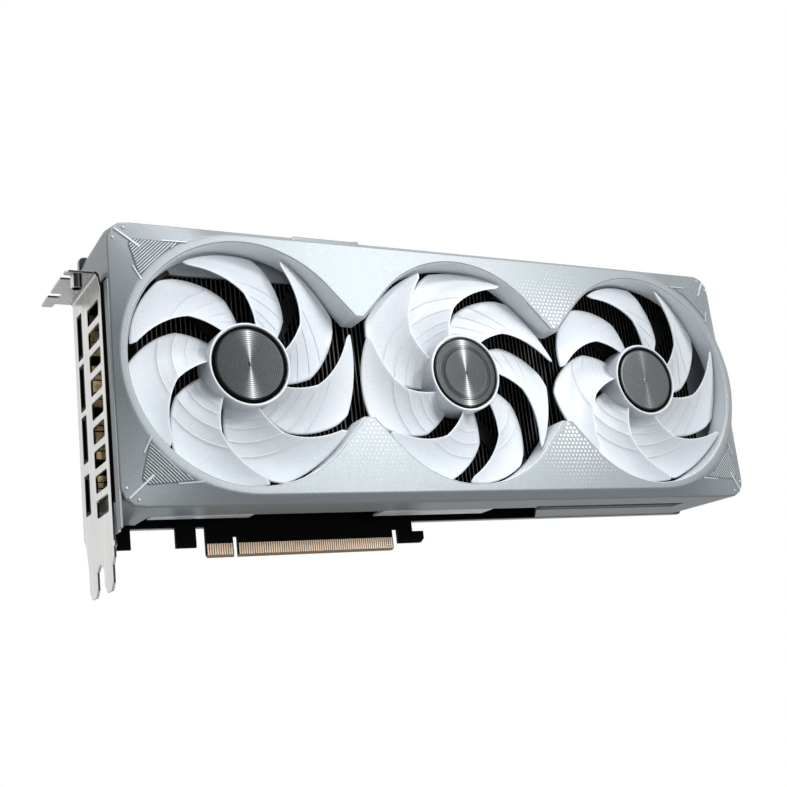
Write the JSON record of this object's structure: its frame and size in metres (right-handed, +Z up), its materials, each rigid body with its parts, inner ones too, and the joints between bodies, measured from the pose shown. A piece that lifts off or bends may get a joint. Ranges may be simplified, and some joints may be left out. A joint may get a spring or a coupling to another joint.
{
  "type": "graphics card",
  "caption": "Long silver graphics card with a row of white axial fans in an angular shroud, a finned cooler, a slot bracket with video sockets and a black board with an edge connector.",
  "frame": {"origin": "centre of the long contact tongue's bottom edge, at mid thickness of the board", "axes": "+X along the card from the slot bracket to the tail, -Y the way the fans face, +Z up from the edge connector to the card's top edge"},
  "size_m": [0.315, 0.0526, 0.1413],
  "materials": {
    "shroud": "silver satin moulding",
    "corner_insert": "ribbed silver trim",
    "fan_white": "glossy white moulding",
    "hub_metal": "turned face with concentric lines",
    "bracket_steel": "plated sheet",
    "socket_shell": "plated sheet shell",
    "board": "black board lacquer",
    "substrate": "dark laminate",
    "die": "polished die",
    "chip": "moulded chip",
    "choke": "pressed grey block",
    "power_plastic": "black moulding",
    "dark_plastic": "black moulding",
    "brace": "silver strip",
    "fins": "black coated sheet",
    "pipe": null,
    "cold_plate": null,
    "backplate": "silver outside, dark film inside",
    "screw": "plain steel",
    "magnet": "dark ring magnet",
    "winding": "copper winding and core as one ring"
  },
  "bodies": {
    "card": {"shroud": "shroud", "corner_insert_upper_left": "corner_insert", "corner_insert_lower_left": "corner_insert", "corner_insert_lower_right": "corner_insert", "corner_insert_upper_right": "corner_insert", "io_bracket": "bracket_steel", "video_socket_1": "socket_shell", "video_socket_2": "socket_shell", "video_socket_3": "socket_shell", "video_socket_4": "socket_shell", "circuit_board": "board", "gpu_substrate": "substrate", "gpu_die": "die", "memory_chip_1": "chip", "memory_chip_2": "chip", "memory_chip_3": "chip", "memory_chip_4": "chip", "choke_1": "choke", "choke_2": "choke", "choke_3": "choke", "choke_4": "choke", "power_socket": "power_plastic", "motor_base_1": "dark_plastic", "motor_base_2": "dark_plastic", "motor_base_3": "dark_plastic", "air_guide": "dark_plastic", "bracket_brace": "brace", "fin_stack_left": "fins", "fin_stack_middle": "fins", "fin_stack_tail": "fins", "heat_pipe_1": "pipe", "heat_pipe_2": "pipe", "heat_pipe_3": "pipe", "heat_pipe_4": "pipe", "cold_plate": "cold_plate", "backplate": "backplate", "cooler_screw_1": "screw", "cooler_screw_2": "screw", "cooler_screw_3": "screw", "cooler_screw_4": "screw", "fan_stator_1": "winding", "fan_stator_2": "winding", "fan_stator_3": "winding"},
    "fan_1": {"fan_rotor_1": "fan_white", "hub_cap_1": "hub_metal", "fan_shaft_1": "screw", "magnet_ring_1": "magnet"},
    "fan_2": {"fan_rotor_2": "fan_white", "hub_cap_2": "hub_metal", "fan_shaft_2": "screw", "magnet_ring_2": "magnet"},
    "fan_3": {"fan_rotor_3": "fan_white", "hub_cap_3": "hub_metal", "fan_shaft_3": "screw", "magnet_ring_3": "magnet"}
  },
  "joints": [
    {"name": "fan_1_spin", "type": "hinge", "parent": "card", "child": "fan_1", "pos_m": [-0.04188, -0.037, 0.0679], "axis": [0, -1, 0], "continuous": true},
    {"name": "fan_2_spin", "type": "hinge", "parent": "card", "child": "fan_2", "pos_m": [0.05643, -0.037, 0.0679], "axis": [0, -1, 0], "continuous": true},
    {"name": "fan_3_spin", "type": "hinge", "parent": "card", "child": "fan_3", "pos_m": [0.15473, -0.037, 0.0679], "axis": [0, -1, 0], "continuous": true}
  ]
}
